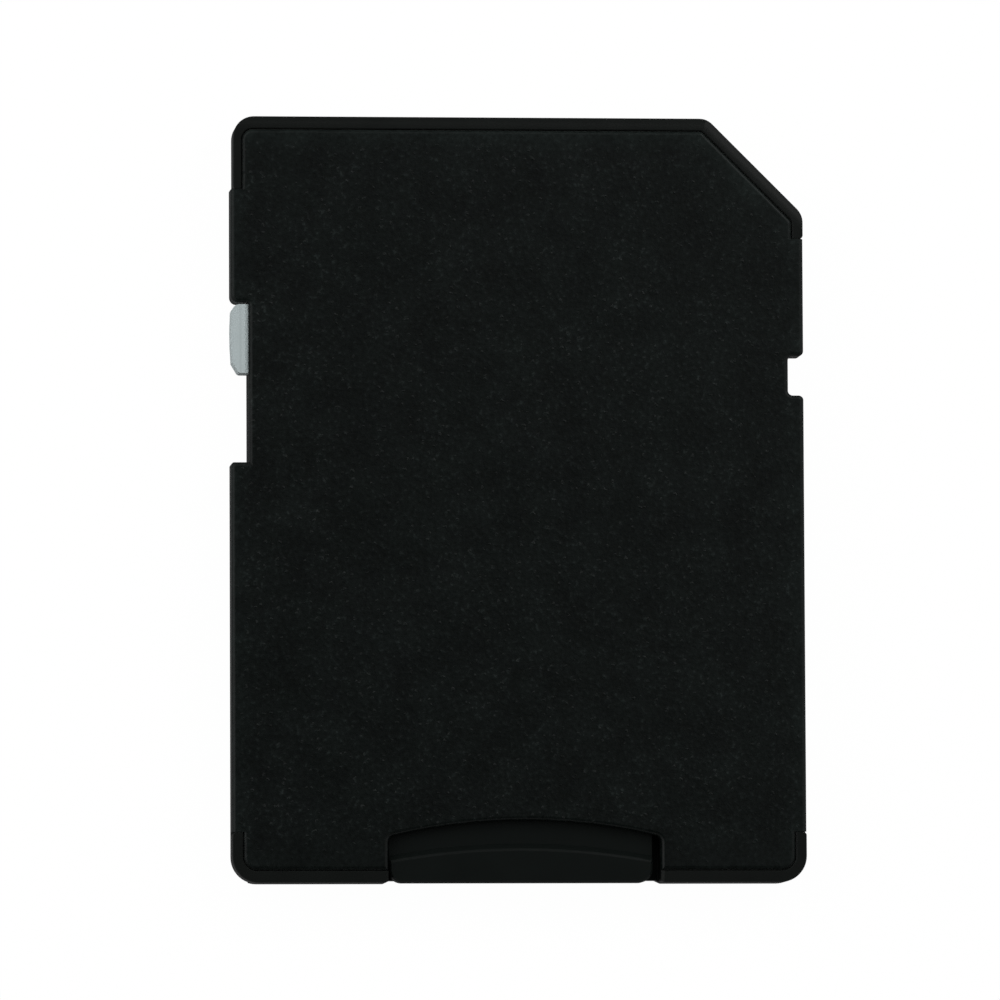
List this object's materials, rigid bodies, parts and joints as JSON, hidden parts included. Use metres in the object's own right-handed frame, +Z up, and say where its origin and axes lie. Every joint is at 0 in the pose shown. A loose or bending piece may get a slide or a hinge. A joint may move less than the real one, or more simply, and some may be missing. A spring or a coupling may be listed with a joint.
{
  "type": "sd memory card",
  "caption": "Thin black memory card shell with a cut corner, a sliding write-lock tab, recessed contacts on the back and a removable micro card seated in its rear slot.",
  "frame": {"origin": "middle of the back (contact side) face, on which the card lies", "axes": "+X across the card, +Y along it towards the leading end with the contacts, +Z up through the label side"},
  "size_m": [0.024, 0.032, 0.0021],
  "materials": {
    "front_cover_plastic": "black moulded plastic with a fine spark-eroded texture",
    "back_cover_plastic": "black moulded plastic, satin",
    "carrier_plastic": "black moulded plastic",
    "slider_plastic": "pale grey moulded plastic",
    "contact_gold": "gold-plated copper alloy",
    "spring_steel": "stainless spring steel",
    "micro_card_plastic": "black moulded plastic, satin",
    "micro_card_gold": "gold-plated pads"
  },
  "bodies": {
    "shell": {"back_cover": "back_cover_plastic", "front_cover": "front_cover_plastic", "terminal_carrier": "carrier_plastic", "data_2_terminal": "contact_gold", "data_3_terminal": "contact_gold", "command_terminal": "contact_gold", "supply_terminal": "contact_gold", "clock_terminal": "contact_gold", "ground_terminal": "contact_gold", "data_0_terminal": "contact_gold", "data_1_terminal": "contact_gold", "side_spring": "spring_steel"},
    "lock": {"lock_slider": "slider_plastic"},
    "card": {"micro_card": "micro_card_plastic", "micro_card_contacts": "micro_card_gold"}
  },
  "joints": [
    {"name": "lock_slide", "type": "slide", "parent": "shell", "child": "lock", "axis": [0, -1, 0], "range_m": [0, 0.00364]},
    {"name": "card_slide", "type": "slide", "parent": "shell", "child": "card", "axis": [0, -1, 0], "range_m": [0, 0.016]}
  ]
}
